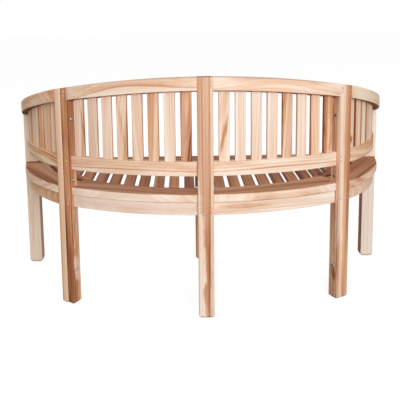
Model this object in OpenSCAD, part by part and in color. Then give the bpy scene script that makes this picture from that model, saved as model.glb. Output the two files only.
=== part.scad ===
// Curved garden bench in solid teak. Two back bays and two arm bays stand between a middle
// rear post, a bolted pair of half posts at each side, two front posts and a front leg.
// Units are millimetres, +Z is up and the front of the bench faces -Y. The origin is on the
// floor under the middle of the bench. Left and right are the sitter's.
//
// Inside the modules the plan runs from the rear face of the middle post: x to the sitter's
// right, y forwards. The module stand() turns a finished piece into the bench's own frame.

/* [Overall] */
// Height of the back's top at its middle
back_h = 850; // [820:1:880]
// Height of the seat's top
seat_h = 446; // [430:1:460]
// Height of the arm's top over the middle of the front post
arm_front_h = 686; // [660:1:700]
// Depth from the rear face of the middle post to the seat's front edge
seat_depth = 650; // [630:1:670]
// Distance over the outer faces of the two front posts
front_span = 1488; // [1470:2:1510]

/* [Plan curves] */
// Radius of the back through the posts' rear faces
back_r = 940; // [900:5:1000]
// Distance from the middle to the inner rear corner of each side pair
pair_x = 486; // [470:1:500]
// Radius of the arm bays at the outer face of their top rail
arm_r = 665; // [640:5:690]
// How far the arm's top rail stands outside the front post
arm_proud = 3; // [1:0.5:8]

/* [Elevation curves] */
// Radius of the crown along the top of the back
crown_r = 2800; // [2400:50:3400]
// Radius of the arm's downward sweep
sweep_r = 12000; // [6000:500:20000]

/* [Posts] */
// Width of the middle rear post and of the front leg
post_w = 54; // [48:1:60]
// Depth of the rear posts from their rear face
post_d = 44; // [40:1:50]
// Thickness of each half post of a side pair
half_w = 27; // [24:1:32]
// Side of the square front posts
front_post = 52; // [46:1:56]
// Distance from the seat's front edge back to the front posts' front faces
front_setback = 11; // [6:1:20]
// Chamfer round the feet
foot_chamfer = 9; // [5:0.5:11]
// Rounding of the posts' upright edges
post_edge = 3; // [1:0.5:5]

/* [Top rails] */
// Height of the top rails
top_rail_h = 46; // [40:1:52]
// Width of the back's top rails
back_rail_w = 44; // [40:1:56]
// Width of the arms' top rails
arm_rail_w = 60; // [54:1:68]
// How far the arm rails run past the front posts
arm_nose = 16; // [8:1:30]
// Cut across the two corners of each arm rail's front end
nose_cut = 12; // [6:1:16]
// Rounding of the upper edges of the top rails
rail_edge = 7; // [3:0.5:12]
// How far the underside of the back's top rails falls towards the seat
rail_fall = 7; // [0:0.5:9]

/* [Lower rails and slats] */
// Underside of the lower rails
low_rail_z = 509; // [500:1:520]
// Height of the lower rails
low_rail_h = 51; // [44:1:58]
// Thickness of the lower rails
low_rail_t = 24; // [20:1:28]
// Distance of the back's lower rails inside the posts' rear faces
back_low_in = 14; // [8:1:18]
// Distance of the arms' lower rails inside the top rail's outer face
arm_low_in = 20; // [16:1:26]
// Upright slats in each bay
bay_slats = 8; // [6:1:9]
// Width of an upright slat of the back
slat_w = 38; // [32:1:42]
// Width of an upright slat of the arms
arm_slat_w = 41; // [34:1:43]
// Thickness of an upright slat
slat_t = 12; // [10:1:14]
// Rounding of the upright slats' long edges
slat_edge = 2.5; // [1:0.5:4]
// Depth of a slat's end inside a lower rail
slat_in_low = 9; // [6:1:14]
// Depth of a slat's end inside a top rail, at the middle of the slat
slat_in_top = 12; // [10:1:16]

/* [Seat] */
// Thickness of the seat's rim boards
rim_t = 30; // [26:1:34]
// Distance of the seat's rear edge inside the posts' rear faces
rim_in = 11; // [6:1:16]
// Width of the rear rim at the middle
rim_w = 96; // [86:1:106]
// Radius of the rear rim's inner edge
rim_inner_r = 700; // [660:10:760]
// Distance of the arm bays' rim boards inside the top rail's outer face
arm_rim_in = 4; // [2:0.5:12]
// Width of the arm bays' rim boards
arm_rim_w = 100; // [90:1:110]
// Width of the front rim board
front_rim_w = 88; // [80:1:96]
// Thickness of the seat slats and of the curved inner boards
seat_slat_t = 22; // [18:1:24]
// Width of a seat slat
seat_slat_w = 37; // [32:1:42]
// Distance from one seat slat to the next
seat_pitch = 55.4; // [54:0.2:57]
// Seat slats on each side of the middle one
side_slats = 10; // [8:1:10]
// Gap between the arm bays' rim boards and the curved boards inside them
board_gap = 14; // [8:1:18]
// Depth of the groove that takes the seat slats' tongues
groove_d = 12; // [8:1:16]
// Height of that groove
groove_h = 9; // [6:1:12]

/* [Frame under the seat] */
// Height of the rear and arm aprons and of the middle bearer
apron_h = 46; // [40:1:60]
// Thickness of the aprons and of the middle bearer
apron_t = 22; // [18:1:26]
// Distance of the rear aprons inside the posts' rear faces
apron_in = 18; // [16:1:20]
// Height of the front aprons
front_apron_h = 20; // [18:1:24]
// Distance of the front aprons behind the front posts' front faces
front_apron_in = 2; // [1:0.5:6]
// Shoulder above and below a front apron's tenon
front_shoulder = 4; // [3:0.5:6]
// Side slat, counted from the middle one, that each side bearer runs under
bearer_slat = 3; // [2:1:4]
// Distance of each side bearer outside its slat's middle
bearer_out = 5; // [0:0.5:6]
// Thickness of the side bearers
side_bearer_t = 18; // [14:1:20]
// Depth of the side bearers below the rims
side_bearer_h = 12; // [10:1:16]
// Leg length of the corner blocks
block_l = 46; // [36:1:50]

/* [Joints] */
// Thickness of the tenons
tenon_t = 12; // [10:1:14]
// Length of the tenons
tenon_l = 19; // [14:1:21]
// Shoulder above and below a tenon
tenon_shoulder = 9; // [7:1:11]
// Clearance round tenons, slat ends and tongues
fit = 0.2; // [0.1:0.05:0.4]
// Free depth past the end of a tenon or a slat
end_gap = 0.5; // [0.3:0.1:1]
// Diameter of the wooden pins through the tenons
pin_d = 8; // [6:0.5:9]
// Length of the wooden pins
pin_l = 32; // [30:1:36]

/* [Bolts] */
// Diameter of the bolts
bolt_d = 6; // [5:0.5:7]
// Clearance of a bolt in its hole, on the diameter
bolt_play = 0.5; // [0.3:0.1:1]
// Diameter of a bolt's domed head
bolt_head_d = 11; // [10:0.5:12.5]
// Height of a bolt's domed head
bolt_head_h = 3.6; // [3:0.2:4.6]
// Width of the six-sided socket in a bolt's head, across its flats
socket_w = 4; // [3:0.5:5]
// Depth of that socket
socket_h = 2; // [1.4:0.2:2.4]
// Diameter of the washers
washer_d = 13.5; // [13:0.5:16]
// Thickness of the washers
washer_t = 1.2; // [0.8:0.1:1.6]
// Width of a nut across its flats
nut_w = 10; // [9.5:0.5:12]
// Height of a nut
nut_h = 5; // [4:0.5:6]
// Height of the lowest bolt above the floor
bolt_low_z = 130; // [110:1:150]
// Height of the middle bolt above the seat
bolt_over_seat = 24; // [18:1:30]
// Distance of the upper bolt below the top of its pair
bolt_under_top = 115; // [95:1:130]

/* [Hidden] */

// Facets of the large arcs, of the sweep bands and of small round shapes
arc_fn = 240;
small_fn = 32;
// A length beyond every part of the bench, for cutting planes
big = 3000;
// How far a tenon is buried in the rail that carries it
root = 3;

// Plan of the side pairs: turn of the pair, its inner rear corner and its outer rear corner
pair_a = asin(pair_x / back_r);
pair_in = [pair_x, back_r - back_r * cos(pair_a)];
pair_out = pair_in + 2 * half_w * [cos(pair_a), sin(pair_a)];
// Centre of the arm bays' arcs, so that the outer face passes the pair's outer corner
arm_cx = front_span / 2 + arm_proud - arm_r;
arm_c = [arm_cx, pair_out.y + sqrt(pow(arm_r, 2) - pow(pair_out.x - arm_cx, 2))];
// Distance of the pair's outer side face from the arm arcs' centre, along the pair
pair_reach = (pair_out - arm_c) * [cos(pair_a), sin(pair_a)];

// Front posts
front_x = front_span / 2 - front_post;
front_y1 = seat_depth - front_setback;
front_y0 = front_y1 - front_post;
arm_end_y = front_y1 + arm_nose;
bench_depth = max(seat_depth, arm_end_y);

// Heights
rim_z = seat_h - rim_t;
slat_z = seat_h - seat_slat_t;
apron_z = rim_z - apron_h;
groove_z = slat_z + (seat_slat_t - groove_h) / 2;
front_rim_y = seat_depth - front_rim_w;
front_apron_y = front_y1 - front_apron_in - apron_t;

// Height of the crown at a distance x from the middle
function crown_z(x) = back_h - crown_r + sqrt(crown_r * crown_r - x * x);
pair_top_in = crown_z(pair_in.x);
pair_top_out = crown_z(pair_out.x);

// Centre of an arc of radius r from p to q, on the upper side
function arc_centre(p, q, r) =
    let (d = q - p, l = norm(d))
    (p + q) / 2 + sqrt(r * r - l * l / 4) / l * [-d.y, d.x];
sweep_c = arc_centre([pair_out.y, pair_top_out], [(front_y0 + front_y1) / 2, arm_front_h], sweep_r);
// Height of the arm's top at a distance y from the rear
function sweep_z(y) = sweep_c.y - sqrt(sweep_r * sweep_r - pow(y - sweep_c.x, 2));

// Angle, from straight back, at which an arm arc of radius r leaves the side pair
function arm_a0(r) = pair_a + asin(pair_reach / r);
// Angle at which it reaches a distance y from the rear
function arm_a1(r, y) = acos((arm_c.y - y) / r);
// Angle at which a back arc of radius r leaves the middle post
function back_a0(r) = asin(post_w / 2 / r);

// Distances of the upright slats' middles inside the guide arcs
back_slat_in = back_low_in + low_rail_t / 2;
arm_slat_in = arm_low_in + low_rail_t / 2;
// Angle of slat i, w wide, in a bay between the angles a0 and a1 on radius r
function slat_a(i, w, a0, a1, r) =
    let (arc = (a1 - a0) * PI / 180 * r, gap = (arc - bay_slats * w) / (bay_slats + 1))
    a0 + (gap + w / 2 + i * (w + gap)) / r * 180 / PI;
function back_slat_a(i) = let (r = back_r - back_slat_in) slat_a(i, slat_w, back_a0(r), pair_a, r);
function arm_slat_a(i) =
    let (r = arm_r - arm_slat_in) slat_a(i, arm_slat_w, arm_a0(r), arm_a1(r, front_y0), r);
// Heights of the slats' tops inside the top rails
function back_slat_top(i) = crown_z(back_r * sin(back_slat_a(i))) - top_rail_h + slat_in_top;
function arm_slat_top(i) = sweep_z(arm_c.y - arm_r * cos(arm_slat_a(i))) - top_rail_h + slat_in_top;

// The curved board inside the arm bays' rim
board_out_r = arm_r - arm_rim_in - arm_rim_w - board_gap;
board_in_r = board_out_r - seat_slat_w;
rim_inner_c = [0, rim_in + rim_w + rim_inner_r];

// Where the bearers meet the frame
bearer_x = bearer_slat * seat_pitch + bearer_out;
apron_inner_r = back_r - apron_in - apron_t;
bearer_y0 = back_r - sqrt(pow(apron_inner_r, 2) - pow(bearer_x - side_bearer_t / 2, 2));

// Colours of the boards
pale = [0.90, 0.77, 0.62];
honey = [0.83, 0.65, 0.46];
tan_wood = [0.76, 0.57, 0.40];
brown = [0.66, 0.43, 0.29];
steel = [0.75, 0.76, 0.78];

// Turns a piece from the plan's frame into the bench's frame
module stand() translate([0, bench_depth / 2, 0]) rotate([0, 0, 180]) children();

// The same for a piece drawn on the sitter's right: side is 1 for right and -1 for left
module on_side(side) stand() mirror([side < 0 ? 1 : 0, 0, 0]) children();

// Frame of the side pair: x along the rear faces outwards, y into the seat
module at_pair() translate([pair_in.x, pair_in.y, 0]) rotate([0, 0, pair_a]) children();

// A square with rounded corners, made of squares and circles so that its arcs stay true
module rounded_square(size, r) {
    translate([r, 0]) square([size.x - 2 * r, size.y]);
    translate([0, r]) square([size.x, size.y - 2 * r]);
    for (x = [r, size.x - r], y = [r, size.y - r])
        translate([x, y]) circle(r, $fn = small_fn);
}

// Everything nearer the middle than the pair's plane at a distance d from its inner face
module before_pair(d) translate(pair_in) rotate(pair_a) translate([d - big, -big]) square([big, 2 * big]);

// Everything farther out than that plane
module beyond_pair(d) translate(pair_in) rotate(pair_a) translate([d, -big]) square([big, 2 * big]);

// Everything behind a distance y from the rear
module behind(y) translate([-big, y - 2 * big]) square([2 * big, 2 * big]);

// Everything to the right of x
module right_of(x) translate([x, -big]) square([big, 2 * big]);

// Ring of a back bay between two distances inside the posts' rear faces
module back_ring(d0, d1) translate([0, back_r]) difference() {
    circle(back_r - d0, $fn = arc_fn);
    circle(back_r - d1, $fn = arc_fn);
}

// Ring of an arm bay between two distances inside the top rail's outer face
module arm_ring(d0, d1) translate(arm_c) difference() {
    circle(arm_r - d0, $fn = arc_fn);
    circle(arm_r - d1, $fn = arc_fn);
}

// An upright piece of the plan shape, from z0 up to z1
module slab(z0, z1) translate([0, 0, z0]) linear_extrude(z1 - z0) children();

// Post on the plan square at the origin, with eased edges and a chamfered foot
module post(w, d, h) intersection() {
    linear_extrude(h) rounded_square([w, d], post_edge);
    translate([0, d, 0]) rotate([90, 0, 0]) linear_extrude(d) foot_profile(w, h);
    rotate([90, 0, 90]) linear_extrude(w) foot_profile(d, h);
}

module foot_profile(w, h) polygon([
    [foot_chamfer, 0], [w - foot_chamfer, 0], [w, foot_chamfer], [w, h], [0, h], [0, foot_chamfer]
]);

// Tenon block along x with its end at x = 0 and its middle at y = 0. It takes a growth for
// the mortise, which also runs a little past the shoulder
module tenon(z0, z1, grow) translate([-grow, -tenon_t / 2 - grow, z0 - grow])
    cube([tenon_l + grow + (grow > 0 ? fit : root), tenon_t + 2 * grow, z1 - z0 + 2 * grow]);

// The levels of the tenons: height of the rail's underside and of its top
low_span = [low_rail_z, low_rail_z + low_rail_h];
apron_span = [apron_z, rim_z];
front_span_z = [rim_z - front_apron_h, rim_z];
mid_span = [crown_z(post_w / 2) - top_rail_h, crown_z(post_w / 2)];
pair_span = [pair_top_in - top_rail_h, pair_top_in];
arm_span = [pair_top_out - top_rail_h, pair_top_out];
function grip(span) = [span[0] + tenon_shoulder, span[1] - tenon_shoulder];
front_grip = [front_span_z[0] + front_shoulder, front_span_z[1] - front_shoulder];

// Tenon of a back rail in the middle post. d is the rail's middle, inside the rear face
module middle_tenon(d, span, grow = 0)
    translate([post_w / 2 - tenon_l, d, 0]) tenon(grip(span)[0], grip(span)[1], grow);

// Tenon of a back rail in the inner half post
module inner_tenon(d, span, grow = 0)
    at_pair() translate([tenon_l, d, 0]) rotate([0, 0, 180]) tenon(grip(span)[0], grip(span)[1], grow);

// Tenon of an arm rail in the outer half post
module outer_tenon(d, span, grow = 0)
    at_pair() translate([2 * half_w - tenon_l, d, 0]) tenon(grip(span)[0], grip(span)[1], grow);

// Tenon of a curved arm rail in the rear face of the front post
module front_tenon(d, span, grow = 0)
    translate([arm_cx + sqrt(pow(arm_r - d, 2) - pow(arm_c.y - front_y0, 2)), front_y0 + tenon_l, 0])
        rotate([0, 0, -90]) tenon(grip(span)[0], grip(span)[1], grow);

// Tenon of a front apron in the front post, and in the front leg
module apron_end_tenon(grow = 0)
    translate([front_x + tenon_l, front_apron_y + apron_t / 2, 0]) rotate([0, 0, 180])
        tenon(front_grip[0], front_grip[1], grow);
module apron_leg_tenon(grow = 0)
    translate([post_w / 2 - tenon_l, front_apron_y + apron_t / 2, 0])
        tenon(front_grip[0], front_grip[1], grow);

// Tenons of the middle bearer in the rear post and in the front leg
module bearer_tenons(grow = 0) {
    translate([0, post_d - tenon_l, 0]) rotate([0, 0, 90])
        tenon(grip(apron_span)[0], grip(apron_span)[1], grow);
    translate([0, front_y0 + tenon_l, 0]) rotate([0, 0, -90])
        tenon(grip(apron_span)[0], grip(apron_span)[1], grow);
}

// Tenon on the front post's top, which enters the arm rail from below
post_tenon = 26;
arm_under_0 = sweep_z(front_y0) - top_rail_h;
arm_under_1 = sweep_z(front_y1) - top_rail_h;
module post_top_tenon(grow = 0)
    translate([front_x + front_post / 2 - post_tenon / 2 - grow,
        front_y0 + front_post / 2 - post_tenon / 2 - grow, arm_under_1 - root])
        cube([post_tenon + 2 * grow, post_tenon + 2 * grow,
            root + top_rail_h / 2 + (grow > 0 ? end_gap : 0)]);

// Distances of the rails' middles inside the guide arcs
back_top_mid = back_rail_w / 2;
apron_mid = apron_in + apron_t / 2;
arm_top_mid = arm_rail_w / 2 - 6;

// Heights of the wooden pins in a tenon: one at each quarter, or one in the middle
function pin_zs(span) = let (g = grip(span), m = (g[0] + g[1]) / 2, q = (g[1] - g[0]) / 4) [m - q, m + q];

// A wooden pin that enters along y from the rear face of its post
module pin(grow) translate([0, -grow, 0]) rotate([-90, 0, 0])
    cylinder(d = pin_d + 2 * grow, h = pin_l + 2 * grow, $fn = small_fn);

// All wooden pins on the sitter's right half. grow is their clearance in the holes
module side_pins(grow = 0) {
    pin_x = tenon_l / 2;
    for (span = [mid_span, low_span, apron_span], z = pin_zs(span))
        translate([post_w / 2 - pin_x, 0, z]) pin(grow);
    for (span = [pair_span, low_span, apron_span], z = pin_zs(span))
        at_pair() translate([pin_x, 0, z]) pin(grow);
    for (span = [arm_span, low_span, apron_span], z = pin_zs(span))
        at_pair() translate([2 * half_w - pin_x, 0, z]) pin(grow);
}

module all_pins(grow = 0) {
    side_pins(grow);
    mirror([1, 0, 0]) side_pins(grow);
}

// Heights of the bolts through a side pair
bolt_zs = [bolt_low_z, seat_h + bolt_over_seat, pair_top_in - bolt_under_top];
bolt_len = 2 * half_w + 2 * washer_t + nut_h;

// Bolt along x: the underside of its head at x = 0, its end at x = length
module bolt(length) {
    rotate([0, 90, 0]) cylinder(d = bolt_d, h = length, $fn = small_fn);
    rotate([0, -90, 0]) bolt_head();
}

// Domed head on the plane z = 0, with its socket
module bolt_head() difference() {
    rotate_extrude($fn = small_fn) bolt_dome();
    translate([0, 0, bolt_head_h - socket_h]) cylinder(d = socket_w / cos(30), h = bolt_head_h, $fn = 6);
}

module bolt_dome() {
    dome_r = (pow(bolt_head_d / 2, 2) + pow(bolt_head_h, 2)) / (2 * bolt_head_h);
    intersection() {
        translate([0, bolt_head_h - dome_r]) circle(dome_r, $fn = 4 * small_fn);
        square([bolt_head_d / 2, bolt_head_h]);
    }
}

module washer() rotate([0, 90, 0]) difference() {
    cylinder(d = washer_d, h = washer_t, $fn = small_fn);
    translate([0, 0, -1]) cylinder(d = bolt_d + bolt_play, h = washer_t + 2, $fn = small_fn);
}

module nut() rotate([0, 90, 0]) difference() {
    cylinder(d = nut_w / cos(30), h = nut_h, $fn = 6);
    translate([0, 0, -1]) cylinder(d = bolt_d + fit, h = nut_h + 2, $fn = small_fn);
}

// Places what is given on the bolts' axes, at the inner side face of the right pair
module at_pair_bolts() for (z = bolt_zs) at_pair() translate([0, post_d / 2, z]) children();

// The same for the single bolt across the middle post, its head on the sitter's right
module at_middle_bolt()
    translate([post_w / 2, post_d / 2, seat_h + bolt_over_seat]) rotate([0, 0, 180]) children();

module bolt_holes() {
    at_pair_bolts() translate([-1, 0, 0]) rotate([0, 90, 0])
        cylinder(d = bolt_d + bolt_play, h = 2 * half_w + 2, $fn = small_fn);
    at_middle_bolt() translate([-1, 0, 0]) rotate([0, 90, 0])
        cylinder(d = bolt_d + bolt_play, h = post_w + 2, $fn = small_fn);
}

// Cross-section of a top rail as points [distance inwards, height over the top]: the upper
// edges are rounded, the lower ones are eased less, and the underside falls inwards
function rail_corner(x, z, r, a0, n) =
    [for (i = [0:n]) let (a = a0 + i * 90 / n) [x + r * cos(a), z + r * sin(a)]];
function rail_section(w, fall) = let (r = rail_edge, e = rail_edge / 2) concat(
    rail_corner(w - r, -r, r, 0, 3),
    rail_corner(r, -r, r, 90, 3),
    rail_corner(e, e - top_rail_h, e, 180, 2),
    rail_corner(w - e, e - top_rail_h - fall, e, 270, 2)
);

// Skin of a body swept through rings of points, closed at both ends
module sweep(rings) {
    n = len(rings[0]);
    m = len(rings);
    points = [for (ring = rings, p = ring) p];
    sides = [for (i = [0:m - 2], j = [0:n - 1]) let (a = i * n + j, b = i * n + (j + 1) % n)
        each [[a, b + n, b], [a, a + n, b + n]]];
    start = [[for (j = [0:n - 1]) j]];
    end = [[for (j = [n - 1:-1:0]) (m - 1) * n + j]];
    polyhedron(points, concat(sides, start, end), convexity = 6);
}

// Top rail of a back bay: level across, crowned along its length
module back_rail_body(steps) sweep([for (i = [0:steps]) [for (s = rail_section(back_rail_w, rail_fall))
    let (r = back_r - s.x, a = back_a0(r) + i / steps * (pair_a - back_a0(r)),
        outer = back_a0(back_r) + i / steps * (pair_a - back_a0(back_r)))
    [r * sin(a), back_r - r * cos(a), crown_z(back_r * sin(outer)) + s.y]]]);

// Top rail of an arm bay: level across, sweeping down to the front
module arm_rail_body(steps) sweep([for (i = [0:steps]) [for (s = rail_section(arm_rail_w, 0))
    let (r = arm_r - s.x, t = i / steps, a = arm_a0(r) + t * (arm_a1(r, arm_end_y) - arm_a0(r)),
        outer = arm_a0(arm_r) + t * (arm_a1(arm_r, arm_end_y) - arm_a0(arm_r)))
    [arm_c.x + r * sin(a), arm_c.y - r * cos(a), sweep_z(arm_c.y - arm_r * cos(outer)) + s.y]]]);

// Cuts across the two corners of the arm rail's nose
module nose_cuts() for (x = [arm_cx + sqrt(pow(arm_r, 2) - pow(arm_end_y - arm_c.y, 2)),
    arm_cx + sqrt(pow(arm_r - arm_rail_w, 2) - pow(arm_end_y - arm_c.y, 2))])
    translate([x, arm_end_y, arm_front_h - 2 * top_rail_h]) rotate([0, 0, 45])
        translate([-nose_cut / sqrt(2), -nose_cut / sqrt(2), 0])
            cube([nose_cut * sqrt(2), nose_cut * sqrt(2), 4 * top_rail_h]);

// Upright slat, w wide and up to z1, at the angle a on an arc of radius r whose centre is the
// origin. With a growth it cuts the slat's pockets
module slat_block(w, a, r, z1, grow) {
    z0 = low_rail_z + low_rail_h - slat_in_low;
    free = grow > 0 ? end_gap : 0;
    rotate([0, 0, a]) translate([-w / 2 - grow, -r - slat_t / 2 - grow, z0 - free])
        linear_extrude(z1 - z0 + 2 * free) rounded_square([w + 2 * grow, slat_t + 2 * grow], slat_edge);
}

module back_slat_blocks(grow) translate([0, back_r, 0]) for (i = [0:bay_slats - 1])
    slat_block(slat_w, back_slat_a(i), back_r - back_slat_in, back_slat_top(i), grow);

module arm_slat_blocks(grow) translate(arm_c) for (i = [0:bay_slats - 1])
    slat_block(arm_slat_w, arm_slat_a(i), arm_r - arm_slat_in, arm_slat_top(i), grow);

// Plan of the rear posts on the right half and of what lies behind them, grown by the posts'
// clearance
module rear_posts_plan(grow) {
    translate([-post_w / 2 - grow, -post_d]) square([post_w + 2 * grow, 2 * post_d + grow]);
    translate(pair_in) rotate(pair_a) translate([-grow, -post_d])
        square([2 * half_w + 2 * grow, 2 * post_d + grow]);
}

module front_posts_plan(grow) for (s = [-1, 1])
    translate([s > 0 ? front_x - grow : -front_x - front_post - grow, front_y0 - grow])
        square(front_post + 2 * grow);

// The area inside the seat's rims and curved boards, grown into their grooves
module seat_well(grow) difference() {
    intersection() {
        translate(rim_inner_c) circle(rim_inner_r + grow, $fn = arc_fn);
        behind(front_rim_y + grow);
    }
    for (s = [0, 1]) mirror([s, 0]) difference() {
        beyond_pair(half_w - grow);
        translate(arm_c) circle(board_in_r + grow, $fn = arc_fn);
    }
}

// One seat slat with its tongues. k counts from the middle slat to the right
module seat_slat(k) {
    slab(slat_z, seat_h) intersection() {
        seat_well(-fit);
        translate([k * seat_pitch - seat_slat_w / 2, 0]) square([seat_slat_w, seat_depth]);
    }
    slab(groove_z + fit, groove_z + groove_h - fit) intersection() {
        seat_well(groove_d - end_gap);
        translate([k * seat_pitch - seat_slat_w / 2, 0]) square([seat_slat_w, seat_depth]);
    }
}

module centre_rear_post() color(pale) stand() difference() {
    translate([-post_w / 2, 0, 0]) intersection() {
        post(post_w, post_d, back_h);
        translate([post_w / 2, big, back_h - crown_r]) rotate([90, 0, 0])
            cylinder(r = crown_r, h = 2 * big, $fn = 4 * arc_fn);
    }
    for (s = [0, 1]) mirror([s, 0, 0]) {
        middle_tenon(back_top_mid, mid_span, fit);
        middle_tenon(back_slat_in, low_span, fit);
        middle_tenon(apron_mid, apron_span, fit);
    }
    bearer_tenons(fit);
    all_pins(fit / 2);
    bolt_holes();
}

// Half post on the pair's frame, between two distances along it, its top cut to the rails' slope
module half_post(x0) at_pair() intersection() {
    translate([x0, 0, 0]) post(half_w, post_d, pair_top_in);
    translate([0, 2 * post_d, 0]) rotate([90, 0, 0]) linear_extrude(3 * post_d) polygon([
        [0, 0], [2 * half_w, 0], [2 * half_w, pair_top_out], [0, pair_top_in]
    ]);
}

module back_post(side, shade) color(shade) on_side(side) difference() {
    half_post(0);
    inner_tenon(back_top_mid, pair_span, fit);
    inner_tenon(back_slat_in, low_span, fit);
    inner_tenon(apron_mid, apron_span, fit);
    side_pins(fit / 2);
    bolt_holes();
}

module arm_rear_post(side, shade) color(shade) on_side(side) difference() {
    half_post(half_w);
    outer_tenon(arm_top_mid, arm_span, fit);
    outer_tenon(arm_slat_in, low_span, fit);
    outer_tenon(apron_mid, apron_span, fit);
    side_pins(fit / 2);
    bolt_holes();
}

module front_post_piece(side, shade) color(shade) on_side(side) difference() {
    union() {
        intersection() {
            translate([front_x, front_y0, 0]) post(front_post, front_post, arm_under_0);
            translate([front_x - 1, 0, 0]) rotate([90, 0, 90]) linear_extrude(front_post + 2) polygon([
                [front_y0, 0], [front_y1, 0], [front_y1, arm_under_1 - fit], [front_y0, arm_under_0 - fit]
            ]);
        }
        post_top_tenon();
    }
    front_tenon(arm_slat_in, low_span, fit);
    front_tenon(apron_mid, apron_span, fit);
    apron_end_tenon(fit);
}

module centre_front_leg() color(tan_wood) stand() difference() {
    translate([-post_w / 2, front_y0, 0]) post(post_w, front_post, rim_z);
    for (s = [0, 1]) mirror([s, 0, 0]) apron_leg_tenon(fit);
    bearer_tenons(fit);
}

module top_rail(side, shade) color(shade) on_side(side) difference() {
    union() {
        back_rail_body(24);
        middle_tenon(back_top_mid, mid_span);
        inner_tenon(back_top_mid, pair_span);
    }
    back_slat_blocks(fit);
    side_pins(fit / 2);
}

module arm_rail(side, shade) color(shade) on_side(side) difference() {
    union() {
        arm_rail_body(32);
        outer_tenon(arm_top_mid, arm_span);
    }
    arm_slat_blocks(fit);
    post_top_tenon(fit);
    nose_cuts();
    side_pins(fit / 2);
}

module lower_rail(side, shade) color(shade) on_side(side) difference() {
    union() {
        slab(low_rail_z, low_rail_z + low_rail_h) intersection() {
            back_ring(back_low_in, back_low_in + low_rail_t);
            right_of(post_w / 2);
            before_pair(0);
        }
        middle_tenon(back_slat_in, low_span);
        inner_tenon(back_slat_in, low_span);
    }
    back_slat_blocks(fit);
    side_pins(fit / 2);
}

module arm_lower_rail(side, shade) color(shade) on_side(side) difference() {
    union() {
        slab(low_rail_z, low_rail_z + low_rail_h) intersection() {
            arm_ring(arm_low_in, arm_low_in + low_rail_t);
            beyond_pair(2 * half_w);
            behind(front_y0);
            right_of(0);
        }
        outer_tenon(arm_slat_in, low_span);
        front_tenon(arm_slat_in, low_span);
    }
    arm_slat_blocks(fit);
    side_pins(fit / 2);
}

module back_slats(side) color(honey) on_side(side) back_slat_blocks(0);

module arm_slats(side) color(honey) on_side(side) arm_slat_blocks(0);

// Groove for the seat slats' tongues
module seat_groove() slab(groove_z, groove_z + groove_h) seat_well(groove_d);

module seat_rear_rim(side, shade) color(shade) on_side(side) difference() {
    slab(rim_z, seat_h) difference() {
        intersection() {
            translate([0, back_r]) circle(back_r - rim_in, $fn = arc_fn);
            right_of(0);
            before_pair(half_w);
            behind(front_rim_y);
        }
        translate(rim_inner_c) circle(rim_inner_r, $fn = arc_fn);
        rear_posts_plan(fit);
    }
    seat_groove();
}

module arm_seat_rim(side, shade) color(shade) on_side(side) slab(rim_z, seat_h) difference() {
    intersection() {
        arm_ring(arm_rim_in, arm_rim_in + arm_rim_w);
        beyond_pair(half_w);
        behind(front_rim_y);
        right_of(0);
    }
    rear_posts_plan(fit);
}

module arm_seat_board(side, shade) color(shade) on_side(side) difference() {
    slab(slat_z, seat_h) intersection() {
        arm_ring(arm_r - board_out_r, arm_r - board_in_r);
        beyond_pair(half_w);
        behind(front_rim_y);
        right_of(0);
    }
    seat_groove();
}

module seat_front_rim() color(honey) stand() difference() {
    slab(rim_z, seat_h) difference() {
        intersection() {
            translate([-front_span / 2, front_rim_y]) square([front_span, front_rim_w]);
            union() {
                for (s = [0, 1]) mirror([s, 0]) intersection() {
                    translate(arm_c) circle(arm_r - arm_rim_in, $fn = arc_fn);
                    right_of(-1);
                }
            }
        }
        front_posts_plan(fit);
    }
    seat_groove();
}

module seat_slats(side) color(tan_wood) on_side(side) for (k = [1:side_slats]) seat_slat(k);

module seat_middle_slat() color(tan_wood) stand() seat_slat(0);

module rear_apron(side, shade) color(shade) on_side(side) difference() {
    union() {
        slab(apron_z, rim_z) intersection() {
            back_ring(apron_in, apron_in + apron_t);
            right_of(post_w / 2);
            before_pair(0);
        }
        middle_tenon(apron_mid, apron_span);
        inner_tenon(apron_mid, apron_span);
    }
    side_pins(fit / 2);
}

module arm_apron(side, shade) color(shade) on_side(side) difference() {
    union() {
        slab(apron_z, rim_z) intersection() {
            arm_ring(apron_in, apron_in + apron_t);
            beyond_pair(2 * half_w);
            behind(front_y0);
            right_of(0);
        }
        outer_tenon(apron_mid, apron_span);
        front_tenon(apron_mid, apron_span);
    }
    side_pins(fit / 2);
}

module front_apron(side, shade) color(shade) on_side(side) {
    translate([post_w / 2, front_apron_y, front_span_z[0]])
        cube([front_x - post_w / 2, apron_t, front_apron_h]);
    apron_end_tenon();
    apron_leg_tenon();
}

// Board on edge, t thick, from y0 to y1 and down to z0. Its top steps up to the slats between
// the rims, the rear one of which ends at rim_end
module bearer_body(t, z0, y0, y1, rim_end) translate([-t / 2, 0, 0]) rotate([90, 0, 90])
    linear_extrude(t) polygon([
        [y0, z0], [y1, z0], [y1, rim_z], [front_rim_y - fit, rim_z], [front_rim_y - fit, slat_z],
        [rim_end + fit, slat_z], [rim_end + fit, rim_z], [y0, rim_z]
    ]);

module middle_bearer() color(tan_wood) stand() {
    bearer_body(apron_t, apron_z, post_d, front_y0, rim_in + rim_w);
    bearer_tenons();
}

module side_bearer(side) color(tan_wood) on_side(side) difference() {
    translate([bearer_x, 0, 0])
        bearer_body(side_bearer_t, rim_z - side_bearer_h, bearer_y0 - apron_t, front_apron_y,
            rim_inner_c.y - sqrt(pow(rim_inner_r, 2) - pow(bearer_x + side_bearer_t / 2, 2)));
    slab(apron_z, slat_z + 1) translate([0, back_r]) difference() {
        circle(back_r, $fn = arc_fn);
        circle(apron_inner_r, $fn = arc_fn);
    }
}

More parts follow.
